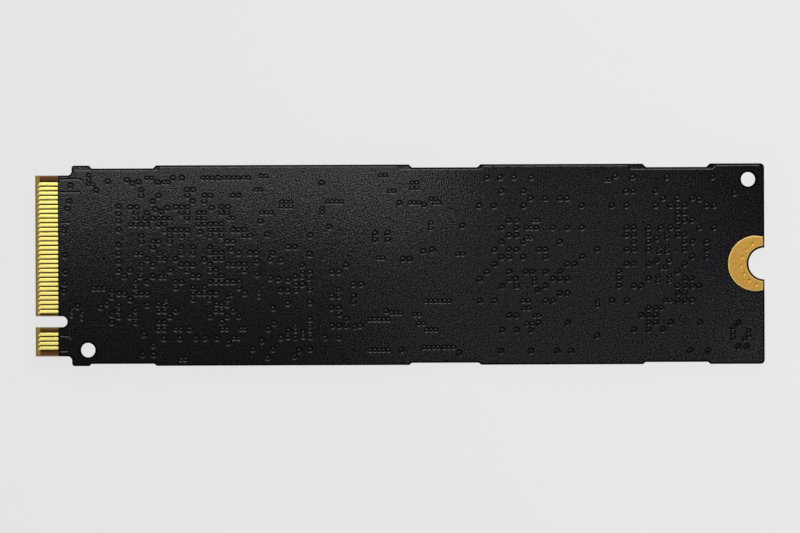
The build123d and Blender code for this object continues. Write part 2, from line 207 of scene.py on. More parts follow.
# Lacquer: black photo-imaged solder mask, flowed over the etched copper of both faces and cured. It follows
# the copper below, so every plugged via shows as a ring groove round a low button, and copper edges as steps.
lattice, lattice_x, lattice_y = 0.63 * MM, -26.50 * MM, 1.31 * MM
controller_rows = (  # each row's place across the card, then its vias along it, in lattice steps
    (13.6, -12.1), (12.7, -12.1), (12, -12.1, -11.4), (11, -10.85), (12.5, -8.8), (12.75, -5.45),
    (12.15, -4.5), (12.4, -3.45),
    (13.1, -1.95, -1.15, 2.6, 4.15, 7.8, 8.6, 9.4, 10.45, 11.5, 12.3, 13.15, 13.95, 14.9, 15.75),
    (13.35, 18, 18.8), (12.35, -0.1, 1, 1.7), (11, -2.95, 5, 6.05, 17.05, 17.85),
    (10, -2.95, 0.05, 5.1, 8.05, 9.05, 13, 14), (9, -1, 6, 8), (8, -4.9, -3.75, 3.05, 4.1, 5.1, 11, 12.1),
    (7.85, 1.55, 9.3), (7.6, -0.5), (7.2, 0.55), (7, -3.95, -2, 4, 5.1, 7.05, 8, 11, 12, 18.05, 18.9, 19.7),
    (6.05, -3.8, -2.3, -1, 0.1, 1.1, 2, 5, 7, 8, 12.3, 13), (5.5, 17.8),
    (5, -4.85, -3.95, -2.95, -1.95, 0.05, 1.1, 7, 8.05, 9.05, 10, 11),
    (4, 1.05, 2, 3, 4, 5.05, 9.05, 10, 11, 13, 14, 15), (3.65, 7.25), (3, -2.95, 2, 4.1, 9, 11, 15.05, 16),
    (3.2, 19), (2, -2.95, -0.95, 0.05, 2, 12, 13), (1, -0.95, 4, 6.05, 9), (0.65, 12.7),
    (0, -3.9, -3.05, 0.25, 4, 6, 9, 10, 11, 14, 16, 17.05), (-1, -1.95, 0.25, 1.05, 3, 10, 11),
    (-1.15, 8, 19.5), (-1.45, 17.2), (-2, -2.95, -0.95, 4, 5, 6, 9, 12.1, 13, 14, 15),
    (-3, -4.95, -2.95, 2.1, 5, 9, 10, 15), (-4, -5.95, -3.2, -0.95, 6.05, 7, 10, 11), (-4.15, 0.45, 1.25),
    (-3.7, 17.2), (-4.4, 19.5), (-5, -4, -1.95, 3, 4, 9, 10, 11, 12, 13, 14.1), (-6.1, -11.3, -10.35, -9.5),
    (-6, -4, 3, 6, 8, 14), (-6.55, -8.15), (-6.75, 17.5), (-7.2, 12.55), (-7.55, -8.15, 17.5),
    (-7, -6.9, -5.95, -3.9, -2.95, -1.95, 6, 7.1, 8, 9, 10, 15), (-8, -4.9, 6, 8.9, 12), (-8.2, 1.3),
    (-8.7, -9), (-9.3, -10.05), (-8.85, 0, 10.1), (-9, -6.95, -1.95, 1, 11, 12),
    (-10, -6.95, -4, 0.1, 1.1, 3, 10, 11, 13), (-10.6, -8.15), (-11, -6.9, -5, -4, 2, 9, 12, 14),
    (-12, -8.15, -4, 0.05, 1.05, 11), (-13.2, -0.05, 1, 3, 3.85, 5.4, 11.15, 11.9, 14.3, 15, 19.1),
    (-14.1, -2.55), (-14.8, 0.9, 3.7, 6.5, 8.15, 10.15, 13.1, 13.95), (-15.3, 17.95), (-15.55, 12.15),
    (-16, -0.9), (-16.7, 16.45), (-17.6, -2.8, -0.9), (-18.2, 19), (-18.45, 3.9, 4.65),
)
half_step, half_step_x, half_step_y = 0.5 * MM, 0.035 * MM, -0.10 * MM
open_rows = (  # the same outside the controller's field, in half millimetres
    (17.75, -72.35), (14.3, -72.65), (12.6, -73), (8.75, -73.6), (7.7, -73.85), (2.4, -73.6),
    (-1.25, -73.5), (-3.7, -73.7), (-5.4, -73.85), (-8.75, -70.85), (-10.35, -69.85), (-11.35, -69.85),
    (-9.7, -72.15), (-10.7, -72.1), (13.1, -61.8), (11.5, -61.8), (9.9, -61.8), (8, -61.8), (4.6, -61.8),
    (2.8, -61.8), (1, -61.8), (-1, -61.8), (18.1, -17.2, 2.65, 3.65), (17, 2.65, 3.7),
    (19.75, -4.25, -3.25), (16.3, -2.25, -1.35), (14, -26, -25, -24, -15.9, -14.9, -13.9, -12.9),
    (13, -26, -25, -24), (12.5, -17.1), (11.6, -17.1), (13.7, -0.1, 2.25, 3.15, 4.15, 7.55, 8.55),
    (13.25, 5.3), (14.5, 6.9, 7.9), (9.25, 6.75), (8.15, 6.75), (8.5, -15.5), (6.6, -19.7),
    (7.1, -5.5, -2.75), (5.65, -5.5, -2.7), (4.1, -24.6, -23.1), (3.05, 5.05), (3.4, 7), (2.75, -28),
    (2.5, -19.85), (1.2, -26.2), (1.65, -4.75, -3.85), (1.4, 0.65, 2.1), (0.1, -21.5, -11.9),
    (-1.4, -21.4, -19.85, -15, -13.5), (-2.4, -23, -21.45), (-2.7, -20), (-2.95, -26.75), (-3.1, -24.6),
    (-4.1, -22.85, -21.45, -19.85, -10.25, -8.6), (-5.35, -26.25, -24.7, -22.85, -13.5), (-5.1, -19.85),
    (-6.65, -15, -13.5, -10.25), (-8, -19.85, -10.25), (-8.25, -24.7), (-9.25, -27.95, -15.1, -13.5),
    (-10.6, -13.5), (-11.75, -19.85, -11.85), (-12.6, -27.75),
    (-13.2, -23, -19.85, -15, -13.45, -11.85, -8.85), (-13.4, -10.1), (-14.2, -24.6, -23, -19.85),
    (-14.6, -21.35), (-15.55, -24.7, -21.35, -19.75), (-15.75, -26.25, -23, -16.6, -13.5),
    (-18.3, -27.95, -19.85), (-18.6, -22.25), (-19.85, -23.25), (-11.85, -6.65, -5.65, -4.65, -3.65, -2.65),
    (-10, -3.1), (-10.4, -1.9, -0.95, 0.05), (-10.8, 3.15, 4.15), (-12.75, 4.05, 5.05),
    (-14.15, 5.75, 6.75, 7.75), (-7.85, 5.65, 6.7, 7.75, 8.75, 9.75, 10.75),
    (-18.55, -6.65, -5.65, -4.65, -3.75, -2.65, 0.25), (-18, 5.2, 6.2, 7.25, 8.25, 9.6, 10.6, 11.6),
    (-19.25, 12.9), (19.25, 19.15, 22.05, 25, 28.8, 51.05, 58.65, 68.65), (18.6, 45.1, 46.05), (19.5, 47.3),
    (16.2, 22.3, 27.15, 49.65, 51.3, 56.15), (14.6, 28.7, 31.9, 35.15, 36.7, 57.75, 60.9, 64.2),
    (14.4, 65.7), (13, 17.4, 20.7, 27.15, 39.9, 46.55, 49.75, 56.15, 59.35, 60.9, 62.55, 67.3, 69),
    (11.4, 61, 62.45), (8.65, 13.7), (9.75, 23.9, 25.55, 29.3, 30.2, 60.9, 62.45, 64.15),
    (8.15, 22.3, 25.55, 27.8, 28.8, 29.9, 33.55, 36.75, 39.9, 49.75, 51.3, 54.55, 57.25, 59.4, 61,
     65.7, 69), (6.55, 23.9, 25.55, 49.75, 51.3, 54.5, 61.05, 62.4), (7, 58.55), (6, 27.8, 28.7, 58.55),
    (5.75, 56.3), (5, 22.3, 27.05, 35.05, 51.3, 54.55, 62.4, 64.2, 67.3),
    (3.35, 20.7, 23.9, 25.55, 30.5, 31.8, 43.25, 49.75, 51.3, 54.55, 62.45, 67.3), (3.85, 56.9, 58.65),
    (2.8, 56.8, 58.55), (2.5, 12.7, 13.7), (1.75, 22.3, 23.95, 27.05, 31.9, 40, 64.15, 67.3),
    (0.9, 56.3, 59.05), (0.15, 20.7, 36.75, 38.3, 49.75, 51.3, 54.55, 62.4), (-0.65, 57.3, 58.25),
    (-1.5, 19.1, 23.9, 27.65, 29.05, 32, 35.15, 48.05, 60.9), (-2.6, 56.55, 59.15), (-3.6, 56.55, 59.05),
    (-3.05, 17.45, 23.95, 25.4, 29.5, 33.55, 35.15, 36.75, 48.1, 54.5, 62.5, 64), (-4, 29.5),
    (-4.65, 22.3, 25.55, 31.9, 48.05, 51.3, 52.9, 60.9, 62.55, 64.15, 65.65), (-5.5, 30.15),
    (-6.25, 35.05, 36.75, 60.9, 62.5),
    (-7.85, 17.45, 20.75, 27, 28.1, 31.9, 33.5, 43.25, 46.5, 49.75, 58.25, 59.25, 60.9, 62.55, 64.15),
    (-8.9, 43.25), (-9.5, 27.1, 28.15, 54.5, 56.1, 57.3),
    (-11.1, 23.9, 25.5, 29.5, 30.4, 52.9, 54.5, 56.05), (-12.7, 30.3, 36.75, 54.5, 56.05, 59.35, 65.75),
    (-12.95, 27.75, 28.9), (-14.25, 22.3, 25.5, 28.6, 51.3, 54.5, 57.65), (-15.6, 43.15),
    (-18.85, 22.05, 28.65, 34.4, 37.4, 63.65, 67.5), (15.7, 73.45), (-12.85, 74.25), (-13.75, 73),
    (-15, 73), (-16.15, 73), (-14.6, 76.4), (-15.6, 76.4), (-16.25, 75.5), (-18, 74.15, 76),
)


def via_places(rows, step, x, y):
    """Plan points of the vias in the rows, counted in steps from the spot x, y."""
    return [(x + step * column, y + step * row) for row, *columns in rows for column in columns]


vias = np.array(
    via_places(controller_rows, lattice, lattice_x, lattice_y)
    + via_places(open_rows, half_step, half_step_x, half_step_y)
)
button_rim, groove_middle, via_rim, groove_depth = 0.03 * MM, 0.235 * MM, 0.43 * MM, 0.042 * MM
full_spacing, least_size = 0.67 * MM, 0.8  # closer vias have smaller rings, down to this share
apart = np.linalg.norm(vias[:, None] - vias, axis=2) + MM * np.eye(len(vias))
via_size = np.clip(apart.min(1) / full_spacing, least_size, 1.0)
copper_drop, copper_slope = 0.046 * MM, 0.080 * MM
copper_edge = MM * np.array([
    (-37.6, 9.74), (-36.5, 9.75), (-36.2, 9.95), (-35.92, 10.25), (-35.75, 10.43), (-26.6, 10.43),
    (-26.4, 10.77), (-0.35, 10.77), (-0.05, 10.43), (9.0, 10.43), (9.25, 10.77), (25.05, 10.77),
    (25.3, 10.38), (34.35, 10.38), (34.7, 10.77), (39.5, 10.77), (40.2, 10.3),
])
copper_plane = np.vstack([copper_edge, MM * np.array([(50, -20), (-50, -20)])])
trace_depth, trace_floor, trace_half = 0.044 * MM, 0.02 * MM, 0.16 * MM
traces = [
    MM * np.array(line)
    for line in (
        [(-37.2, 9.52), (-35.4, 9.55), (-35.0, 9.42), (-34.75, 9.18)],
        [(-37.2, 8.10), (-35.1, 8.10)],
        [(-37.1, 4.72), (-36.2, 4.72)],
        [(-37.2, -7.65), (-36.35, -7.72), (-36.15, -7.95)],
        [(-37.2, -9.35), (-36.5, -9.3)],
    )
]
edge_roll, roll_depth, deepest = 0.12 * MM, 0.020 * MM, 0.048 * MM
thin_band, thin_fade, calm_reach, calm_share = 0.14 * MM, 0.06 * MM, 0.10 * MM, 0.85


def nearest(points, distances):
    """Least distance of each point, by a function from a block of points to a table of distances."""
    block_size = 2000
    blocks = np.array_split(points, max(1, len(points) // block_size))
    return np.concatenate([distances(block).min(1) for block in blocks])


def to_line(points, line):
    """Distance in plan from each point to the nearest segment of an open line."""
    start, run = line[:-1], np.diff(line, axis=0)

    def distances(block):
        along = np.einsum("psk,sk->ps", block[:, None] - start, run) / (run**2).sum(1)
        return np.linalg.norm(block[:, None] - start - np.clip(along, 0, 1)[..., None] * run, axis=2)

    return nearest(points, distances)


def closed(loop):
    """A loop as an open line that ends where it starts."""
    return np.vstack([loop, loop[:1]])


def ease(value, start, end):
    """Smooth step from 0 at start to 1 at end."""
    t = np.clip((value - start) / (end - start), 0, 1)
    return t * t * (3 - 2 * t)


def inside(points, loops):
    """Whether each point in plan lies within the closed loops, counting crossings."""
    found = np.zeros(len(points), bool)
    for loop in loops:
        x0, y0 = loop.T
        x1, y1 = np.roll(loop, -1, axis=0).T
        for a, b, c, d in zip(x0, y0, x1, y1):
            if b != d:
                spans = (points[:, 1] > b) != (points[:, 1] > d)
                found ^= spans & (points[:, 0] < a + (points[:, 1] - b) * (c - a) / (d - b))
    return found


def merged(node):
    """A working copy of a CAD node's mesh, with its loose triangles joined at their corners."""
    work = bmesh.new()
    work.from_mesh(nodes[node].data)
    bmesh.ops.remove_doubles(work, verts=work.verts, dist=1e-7)
    return work


def top_loops(node):
    """Closed loops of plan points round the level top of a flat CAD node."""
    work = merged(node)
    work.normal_update()
    faces_up = 0.9
    follows = {}
    for face in work.faces:
        if face.normal.z > faces_up:
            for loop in face.loops:
                if any(other.normal.z < faces_up for other in loop.edge.link_faces):
                    follows[loop.vert.index] = loop.link_loop_next.vert.index
    work.verts.ensure_lookup_table()
    loops = []
    while follows:
        at = next(iter(follows))
        path = []
        while at in follows:
            path.append(work.verts[at].co.xy[:])
            at = follows.pop(at)
        loops.append(np.array(path))
    work.free()
    return loops


card_outline = max(top_loops("board_laminate"), key=lambda loop: np.ptp(loop[:, 0]))


def survey(points):
    """Plan distances of each point: to the nearest via in shares of its size, out past the edge of the
    copper, to the middle of the nearest trace gap, and in from the outline of the card."""
    via = nearest(points, lambda block: np.linalg.norm(block[:, None] - vias, axis=2) / via_size)
    past = to_line(points, copper_edge)
    past = np.where(inside(points, [copper_plane]), -past, past)
    gap = np.min([to_line(points, line) for line in traces], axis=0)
    border = to_line(points, closed(card_outline))
    return via, past, gap, np.where(inside(points, [card_outline]), border, -border)


def relief(via, past, gap, border):
    """Height of the lacquer over its level at those distances: lower past the copper's edge, in the ring
    round a via and in trace gaps, and rolled over along the card's edge."""
    height = -copper_drop * ease(past, -copper_slope, copper_slope)
    height -= groove_depth * ease(via, button_rim, groove_middle) * (1 - ease(via, groove_middle, via_rim))
    height -= trace_depth * (1 - ease(gap, trace_floor, trace_half))
    height -= roll_depth * np.clip(1 - border / edge_roll, 0, None) ** 2
    return np.maximum(height, -deepest)


def cut_short(loop, longest):
    """A closed loop with extra points, so that no edge is longer than that."""
    parts = []
    for start, end in zip(loop, np.roll(loop, -1, axis=0)):
        count = max(1, math.ceil(np.linalg.norm(end - start) / longest))
        parts.append(start + (end - start) * np.arange(count)[:, None] / count)
    return np.vstack(parts)


def beside(line, offsets, spacing):
    """Points along the parallels of an open line at those offsets."""
    points = []
    for start, end in zip(line[:-1], line[1:]):
        run = end - start
        length = np.linalg.norm(run)
        count = max(2, math.ceil(length / spacing))
        steps = (np.arange(count) + 0.5) / count
        across = np.array([-run[1], run[0]]) / length
        points += [start + steps[:, None] * run + across * offset for offset in offsets]
    return np.vstack(points)


def filled(points, links, loops):
    """Triangles between points in plan, with the links among their edges, that lie within the loops."""
    plan, _, triangles, *_ = delaunay_2d_cdt([Vector(p) for p in points], links, [], 0, 1e-9)
    plan, triangles = np.array([p[:] for p in plan]), np.array(triangles)
    return plan, triangles[inside(plan[triangles].mean(1), loops)]


def lacquer_points(loops):
    """Plan points within the loops, set close where the relief bends: rings round the vias and round the
    corners of trace gaps, parallels of the copper's edge, the gaps and the loops, and an open grid."""
    ring_points = 12
    turns = np.arange(ring_points) * 2 * np.pi / ring_points
    ring = np.stack([np.cos(turns), np.sin(turns)], 1)
    via_rings = np.array([0.05, 0.09, 0.13, 0.17, 0.21, 0.255, 0.30, 0.34, 0.385, 0.437]) * MM
    slope_rows = copper_slope * np.array([-1.1, -0.75, -0.4, 0, 0.4, 0.75, 1.1])
    gap_rings = trace_half * np.array([0.35, 0.7, 1.05, 1.4])
    gap_rows = trace_half * np.array([-1.4, -1.05, -0.75, -0.45, -0.15, 0.15, 0.45, 0.75, 1.05, 1.4])
    edge_rows = np.array([0.04, 0.075, 0.11, 0.15, 0.19]) * MM
    slope_step, gap_step, edge_step, least_inset = 0.25 * MM, 0.15 * MM, 0.3 * MM, 0.03 * MM
    open_x, open_y = np.arange(-37, 40, 0.9) * MM, np.arange(-10.6, 10.7, 0.9) * MM
    sized_rings = via_rings[:, None, None] * via_size[:, None, None, None] * ring
    points = [vias, (vias[:, None, None] + sized_rings).reshape(-1, 2)]
    points.append(beside(copper_edge, slope_rows, slope_step))
    for line in traces:
        points.append(beside(line, gap_rows, gap_step))
        points.append((line[:, None, None] + gap_rings[:, None, None] * ring).reshape(-1, 2))
    x, y = np.meshgrid(open_x, open_y)
    points.append(np.stack([x.ravel(), y.ravel()], 1))
    points += [beside(closed(loop), np.concatenate([-edge_rows, edge_rows]), edge_step) for loop in loops]
    points = np.unique(np.round(np.vstack(points), 8), axis=0)
    points = points[inside(points, loops)]
    return points[np.min([to_line(points, closed(loop)) for loop in loops], axis=0) > least_inset]


def lacquer_sheet(node):
    """Plan of the lacquer over the level top of a CAD node: its points and triangles, the directed edges of
    its border, and triangles between the border points alone for the flat underside."""
    border_step = 0.6 * MM
    loops = [cut_short(loop, border_step) for loop in top_loops(node)]
    links, first = [], 0
    for loop in loops:
        turn = first + np.arange(len(loop))
        links += zip(turn.tolist(), np.roll(turn, -1).tolist())
        first += len(loop)
    plan, triangles = filled(np.vstack([*loops, lacquer_points(loops)]), links, loops)
    directed = np.vstack([triangles[:, [0, 1]], triangles[:, [1, 2]], triangles[:, [2, 0]]])
    pairs = set(map(tuple, directed))
    border = np.array([(a, b) for a, b in directed if (b, a) not in pairs])
    place = np.zeros(len(plan), int)
    place[border[:, 0]] = np.arange(len(border))
    _, base = filled(plan[border[:, 0]], place[border].tolist(), loops)
    return plan, triangles, border, place, base


def lacquer_lie(plan):
    """How the lacquer lies at plan points: its height, its normals from the slopes of the relief, and the
    shares of thin and of calm, even lacquer there."""
    step = 0.001 * MM
    via, past, gap, edge = survey(plan)
    height = relief(via, past, gap, edge)
    slopes = [(relief(*survey(plan + move)) - height) / step for move in ((step, 0), (0, step))]
    normals = np.stack([-slopes[0], -slopes[1], np.ones(len(plan))], 1)
    normals /= np.linalg.norm(normals, axis=1)[:, None]
    thin = 1 - ease(edge, thin_band, thin_band + thin_fade)
    from_relief = np.min([via - via_rim, np.abs(past) - copper_slope, gap - trace_half], axis=0)
    calm = calm_share - calm_share * ease(from_relief, 0, calm_reach)
    return height, normals, thin, calm


def new_piece(name, points, faces, made, stands_for):
    """A mesh object at the origin that rides on the card and stands for a CAD node."""
    mesh = bpy.data.meshes.new(name)
    mesh.from_pydata(points, [], faces)
    mesh.materials.append(made)
    mesh.validate()
    piece = bpy.data.objects.new(name, mesh)
    bpy.context.scene.collection.objects.link(piece)
    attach(piece, "root")
    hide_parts(stands_for)
    return piece


def lacquer(name, node, side, sheet, lie, made):
    """Closed skin of lacquer on one face of the card: the sheet raised to its height, walls and a flat
    underside, with its normals on the outer face and its shares as attributes."""
    plan, triangles, border, place, base = sheet
    height, normals, thin, calm = lie
    low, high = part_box(node)
    level, under = (high.z, low.z) if side > 0 else (low.z, high.z)
    starts, ends = border.T
    points = np.vstack([
        np.column_stack([plan, level + side * height]),
        np.column_stack([plan[starts], np.full(len(starts), under)]),
    ])
    walls = np.stack([starts, len(plan) + place[starts], len(plan) + place[ends], ends], 1)
    faces = triangles.tolist() + walls.tolist() + (len(plan) + base[:, ::-1]).tolist()
    if side < 0:
        faces = [face[::-1] for face in faces]
    piece = new_piece(name, points, faces, made, node)
    mesh = piece.data
    mesh.polygons.foreach_set("use_smooth", [True] * len(mesh.polygons))
    facing, corners = np.zeros(3 * len(mesh.polygons)), np.zeros(len(mesh.polygons), int)
    mesh.polygons.foreach_get("normal", facing)
    mesh.polygons.foreach_get("loop_total", corners)
    flat = np.repeat(facing.reshape(-1, 3), corners, axis=0)
    corner = np.zeros(len(mesh.loops), int)
    mesh.loops.foreach_get("vertex_index", corner)
    outer = np.arange(len(mesh.loops)) < 3 * len(triangles)
    flat[outer] = normals[corner[outer]] * (1, 1, side)
    mesh.normals_split_custom_set(flat.tolist())
    for label, share in (("thin", thin), ("calm", calm)):
        values = np.concatenate([share, share[starts]]).astype(np.float32)
        mesh.attributes.new(label, "FLOAT", "POINT").data.foreach_set("value", values)


mask, tree, shader = finish("solder_mask", IOR=1.10, Coat_IOR=1.47, Coat_Roughness=0.13)
thin = add(tree, "Attribute", attribute_name="thin").outputs["Fac"]
calm = add(tree, "Attribute", attribute_name="calm").outputs["Fac"]
over_copper = mottled(tree, (0.9, 0.7, 0.9), (0.0012, 0.0013, 0.0028), (0.0018, 0.0019, 0.0034))
over_laminate, dulling, calm_coat = (0.0006, 0.0005, 0.0005), 0.5, 0.5
satin = grained(tree, (0.25, 0.25, 0.25), 0.10, 0.16)
speckle = grained(tree, (0.13, 0.12, 0.13), -0.20, 1.20, 0.0)
even = add(tree, "Mix", {"Factor": calm, "A": speckle, "B": calm_coat}).outputs["Result"]
thick = worked(tree, "SUBTRACT", 1.0, thin)
feed(tree, shader,
     Base_Color=blend(tree, thin, over_copper, over_laminate),
     Roughness=worked(tree, "MULTIPLY_ADD", thin, dulling, satin),
     Coat_Weight=worked(tree, "MULTIPLY", even, thick, use_clamp=True))
place = add(tree, "TexCoord").outputs["Object"]
screen = grained(tree, (0.15, 0.15, 0.15), 0, 1, 0.0)
mesh_threads, thread_share = ((-2735.0, -914.0, 0.0), (914.0, -2735.0, 0.0)), 0.12  # threads to the metre
for thread in mesh_threads:
    phase = add(tree, "VectorMath", {0: place, 1: [2 * math.pi * v for v in thread]}, operation="DOT_PRODUCT")
    wave = worked(tree, "SINE", phase.outputs["Value"])
    screen = worked(tree, "MULTIPLY_ADD", wave, thread_share, screen)
feed(tree, shader, Coat_Normal=bump(tree, shader, screen, 0.005, 1.0))
bare_sheet = lacquer_sheet("solder_mask_back")
bare_lie = lacquer_lie(bare_sheet[0])
lacquer("lacquer_back", "solder_mask_back", 1, bare_sheet, bare_lie, mask)
lacquer("lacquer_front", "solder_mask_front", -1, bare_sheet, bare_lie, mask)

# Contacts: copper strips etched on both faces of the tab and plated with bright hard gold, each with a round
# heel and a tip that was cut at a slant when the card's edge was ground, so that its end lies on the bevel.
contact_edge, heel_corner, tip_slant, plate_thick = 0.05 * MM, 0.11 * MM, 0.25 * MM, 0.04 * MM
bevel_start, bevel_fall = card_edge + 0.5 * MM, 0.18 / 0.5
knee_gap, tip_steepness, plate_crease = 0.12 * MM, 0.8, 50
level_shares, slope_shares = (0.3, 0.6, 0.85, 1.0), (0.3, 0.6, 0.8)  # rows from heel to knee and knee to tip


def loose_solids(node):
    """Corner points of each separate solid of a CAD node: labels spread along the edges till each has one."""
    work = merged(node)
    places = np.array([vert.co[:] for vert in work.verts])
    ends = np.array([[vert.index for vert in edge.verts] for edge in work.edges])
    work.free()
    label, old = np.arange(len(places)), None
    while old is None or (old != label).any():
        old = label.copy()
        np.minimum.at(label, ends[:, 0], old[ends].min(1))
        np.minimum.at(label, ends[:, 1], old[ends].min(1))
    return [places[label == one] for one in np.unique(label)]


def node_boxes(node):
    """Lowest and highest corners of each separate solid of a CAD node."""
    solids = loose_solids(node)
    return np.array([p.min(0) for p in solids]), np.array([p.max(0) for p in solids])


def numbered(count, rows, columns):
    """Numbers of the points of that many grids of rows by columns."""
    return np.arange(count * rows * columns).reshape(count, rows, columns)


def sheet_faces(grid, turned):
    """Quads of numbered grids, turned over where the grid faces the other way."""
    quads = np.stack([grid[:, :-1, :-1], grid[:, 1:, :-1], grid[:, 1:, 1:], grid[:, :-1, 1:]], -1)
    quads = quads.reshape(-1, 4)
    return (quads[:, ::-1] if turned else quads).tolist()


def crease(piece, degrees=40):
    """Smooth shading that stops at edges sharper than that."""
    piece.data.polygons.foreach_set("use_smooth", [True] * len(piece.data.polygons))
    piece.data.set_sharp_from_angle(angle=math.radians(degrees))
    return piece


def quarter(radius):
    """Insets from an edge of four points evenly spread over a quarter circle that rounds it."""
    return radius * (1 - np.cos(np.linspace(0, np.pi / 2, 4)))


def round_over(distance, radius):
    """Share of the full height at a distance inside an edge that is rounded over along a quarter circle."""
    return np.sqrt(1 - (1 - np.clip(distance / radius, 0, 1)) ** 2)


def plated(name, points, side, made, node):
    """Plates on one face of the board from grids of points: the outer faces, strips that close them from
    below between their long sides, and one face at each end."""
    grid = numbered(*points.shape[:3])
    strips = np.stack([grid[:, 1:-2, 0], grid[:, 2:-1, 0], grid[:, 2:-1, -1], grid[:, 1:-2, -1]], -1)
    first = np.concatenate([grid[:, 0, ::-1], grid[:, 1, [0, -1]]], 1)
    last = np.concatenate([grid[:, -1], grid[:, -2, [-1, 0]]], 1)
    under = strips.reshape(-1, 4).tolist() + first.tolist() + last.tolist()
    faces = sheet_faces(grid, side > 0) + [face if side > 0 else face[::-1] for face in under]
    return crease(new_piece(name, points.reshape(-1, 3), faces, made, node), plate_crease)


def contacts(name, node, side, made):
    """Strips from a rounded heel to a slanted tip: plan on a grid of rows along and columns across, height
    rounded over at every edge, all laid on the tab and past the start of the bevel down its slope."""
    low, high = node_boxes(node)
    middle = ((low + high) / 2)[:, 1, None, None]
    tip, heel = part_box(node)[0].x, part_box(node)[1].x
    half = (high - low)[0, 1] / 2
    inset = quarter(contact_edge)
    across = np.concatenate([inset - half, [0], half - inset[::-1]])
    past_corner = np.clip(np.abs(across) - half + heel_corner, 0, None)
    heel_x = heel - heel_corner + np.sqrt(heel_corner**2 - past_corner**2)
    tip_x = tip + tip_slant * (across + half) / (2 * half)
    knee = bevel_start + knee_gap
    last = tip_x + inset[-1]
    rows = [heel_x - d for d in inset] + [heel_x + (knee - heel_x) * t for t in level_shares]
    rows += [knee + (last - knee) * t for t in slope_shares] + [tip_x + d for d in inset[::-1]]
    along = np.stack(rows)
    lift = np.minimum(np.minimum(half - np.abs(across), heel_x - along), tip_steepness * (along - tip_x))
    height = plate_thick * round_over(lift, contact_edge) - bevel_fall * np.clip(bevel_start - along, 0, None)
    level = board_back if side > 0 else board_front
    points = np.stack(np.broadcast_arrays(along, across + middle, level + side * height), -1)
    return plated(name, points, side, made, node)


gold, tree, shader = finish("contact_gold", Metallic=1.0)
feed(tree, shader,
     Base_Color=mottled(tree, (0.9, 0.05, 0.9), (1.0, 0.86, 0.25), (1.0, 0.93, 0.335)),
     Roughness=grained(tree, (0.6, 0.07, 0.6), 0.54, 0.64))
bump(tree, shader, grained(tree, (1.2, 0.04, 1.2), 0, 1), 0.002, 0.3)
contacts("contacts_back", "contact_fingers_back", 1, gold)
contacts("contacts_front", "contact_fingers_front", -1, gold)

# Screw pads: half-moons of copper round the screw notch on both faces, plated with a thin matt layer of gold.
# A ring of plugged vias ties the two together and shows as shallow dimples.
pad_inner, pad_edge = 1.93 * MM, 0.06 * MM
pad_middle, pad_width = 2.5 * MM, 1.2 * MM  # about its middle radius and its width, to place the edge rows
pad_turns, pad_shares = np.linspace(-0.975, 0.975, 150), np.linspace(0.08, 0.92, 26)  # inside those rows
dimple_ring, dimple_floor, dimple_rim, dimple_depth = 2.5 * MM, 0.05 * MM, 0.21 * MM, 0.028 * MM
dimple_turns = np.radians(58.8 - 21.3 * np.arange(7))
# painted highlight: the pad's colour turns paler from its edge in to these distances
highlight_from, highlight_to = 0.05 * MM, 0.22 * MM


def screw_pad(name, node, side, made):
    """Ruled surface between the arc round the notch and the wider outer arc, both cut at the same line by the
    card's end; the height is rounded over at the edges and dips smoothly at each via."""
    low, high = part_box(node)
    outer, cut = high.y, card_end - high.x
    lag = card_end - (low.x + outer)
    last_in = np.arccos(cut / pad_inner)
    last_out = np.arccos(cut / math.sqrt(outer**2 - (lag - cut) ** 2 + cut**2))
    inset = quarter(pad_edge)
    edge_turn, edge_share = inset / pad_middle, inset / pad_width
    turn = np.concatenate([edge_turn - 1, pad_turns, 1 - edge_turn[::-1]])[:, None]
    share = np.concatenate([edge_share, pad_shares, 1 - edge_share[::-1]])
    bend = turn * last_out
    reach = lag * np.cos(bend) + np.sqrt((lag * np.cos(bend)) ** 2 + outer**2 - lag**2)
    inner_x, inner_y = -pad_inner * np.cos(turn * last_in), pad_inner * np.sin(turn * last_in)
    outer_x, outer_y = -reach * np.cos(bend), reach * np.sin(bend)
    x, y = inner_x + share * (outer_x - inner_x), inner_y + share * (outer_y - inner_y)
    inward = np.minimum(np.minimum(np.hypot(x, y) - pad_inner, outer - np.hypot(x + lag, y)), -cut - x)
    via_x, via_y = -dimple_ring * np.cos(dimple_turns), dimple_ring * np.sin(dimple_turns)
    near = np.hypot(x[..., None] - via_x, y[..., None] - via_y).min(-1)
    height = plate_thick * round_over(np.clip(inward, 0, None), pad_edge)
    height = np.maximum(height - dimple_depth * (1 - ease(near, dimple_floor, dimple_rim)), 0)
    level = board_back if side > 0 else board_front
    points = np.stack([card_end + x, y, level + side * height], -1)[None]
    piece = plated(name, points, side, made, node)
    # share of the painted highlight near the pad's edges
    rim = piece.data.attributes.new("rim", "FLOAT", "POINT")
    rim.data.foreach_set("value", (1 - ease(inward, highlight_from, highlight_to)).astype(np.float32).ravel())


pad_gold, tree, shader = finish("pad_gold", Metallic=1.0)
# painted highlight: paler gold along the pad's edges, by the rim share
rim, rim_highlight = add(tree, "Attribute", attribute_name="rim").outputs["Fac"], (0.95, 0.66, 0.25)
matt = mottled(tree, (0.3, 0.3, 0.5), (0.79, 0.44, 0.090), (0.87, 0.50, 0.105))
feed(tree, shader,
     Base_Color=blend(tree, rim, matt, rim_highlight),
     Roughness=grained(tree, (0.12, 0.12, 0.12), 0.42, 0.55))
bump(tree, shader, grained(tree, (0.08, 0.08, 0.08), 0, 1), 0.006, 0.4)
screw_pad("screw_pad_back", "mounting_pad_back", 1, pad_gold)
screw_pad("screw_pad_front", "mounting_pad_front", -1, pad_gold)

# Solder balls: each ball grid package stands on a grid of tin alloy balls, which melted between two pads into
# squat barrels with a frosted skin.
neck_share, ball_turns = 0.72, 10
ball_rows = np.array([0, 0.15, 0.38, 0.62, 0.85, 1.0])


